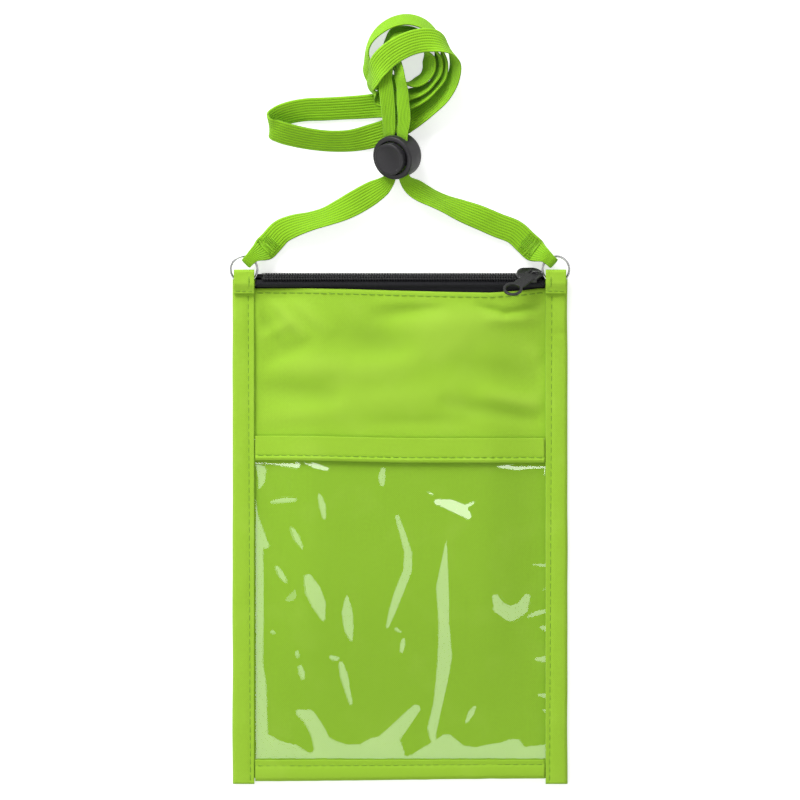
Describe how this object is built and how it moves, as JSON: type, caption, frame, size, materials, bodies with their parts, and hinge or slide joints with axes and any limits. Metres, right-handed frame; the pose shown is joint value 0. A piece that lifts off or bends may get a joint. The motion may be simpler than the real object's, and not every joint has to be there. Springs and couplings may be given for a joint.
{
  "type": "neck wallet",
  "caption": "Flat neck pouch of nylon cloth with a clear front pocket, a zipped top, side rings and a flat lanyard with a cord lock.",
  "frame": {"origin": "middle of the pouch's base, the pouch lying on its back; the lanyard and cord lock are left out", "axes": "+Y from the bottom rim to the zipper, +Z out of the front face, +X to the right when facing the front"},
  "size_m": [0.1292, 0.2923, 0.0179],
  "materials": {
    "green_cloth": "woven nylon, matt",
    "clear_vinyl": "clear flexible sheet, glossy",
    "black_tape": "ribbed woven tape, matt",
    "black_nylon": "moulded nylon coil, satin",
    "black_metal": "black enamel, satin",
    "steel": "nickel-plated wire",
    "black_plastic": "moulded, satin",
    "green_cord": "flat woven polyester, satin"
  },
  "bodies": {
    "pouch": {"back_panel": "green_cloth", "front_panel": "green_cloth", "window_header": "green_cloth", "window_sheet": "clear_vinyl", "bottom_binding": "green_cloth", "left_binding": "green_cloth", "right_binding": "green_cloth", "left_tab": "green_cloth", "right_tab": "green_cloth", "zipper_front_tape": "black_tape", "zipper_back_tape": "black_tape", "zipper_front_coil": "black_nylon", "zipper_back_coil": "black_nylon", "lanyard_left_end": "green_cord", "lanyard_right_end": "green_cord", "lanyard_left_run": "green_cord", "lanyard_right_run": "green_cord", "lanyard_loops": "green_cord", "toggle_barrel": "black_plastic", "toggle_spring": "steel"},
    "slider": {"slider_body": "black_metal"},
    "pull": {"slider_pull": "black_metal"},
    "left_ring": {"left_ring": "steel"},
    "right_ring": {"right_ring": "steel"},
    "button": {"toggle_button": "black_plastic"}
  },
  "joints": [
    {"name": "slider_slide", "type": "slide", "parent": "pouch", "child": "slider", "axis": [1, 0, 0], "range_m": [-0.0963, 0], "deforming": ["zipper_front_coil", "zipper_back_coil"]},
    {"name": "pull_hinge", "type": "hinge", "parent": "slider", "child": "pull", "pos_m": [0.0514, 0.09366, 0.0063], "axis": [-0.7513, 0.4242, -0.5056], "range_deg": [0, 90]},
    {"name": "left_ring_turn", "type": "hinge", "parent": "pouch", "child": "left_ring", "pos_m": [-0.0591, 0.09475, 0.0056], "axis": [0, 0, 1], "continuous": true},
    {"name": "right_ring_turn", "type": "hinge", "parent": "pouch", "child": "right_ring", "pos_m": [0.0591, 0.09475, 0.0056], "axis": [0, 0, 1], "continuous": true},
    {"name": "button_press", "type": "slide", "parent": "pouch", "child": "button", "axis": [0.4903, 0.2302, -0.8406], "range_m": [0, 0.0022], "stiffness_N_per_m": 800, "springref_m": -0.002, "deforming": ["toggle_spring"]}
  ]
}
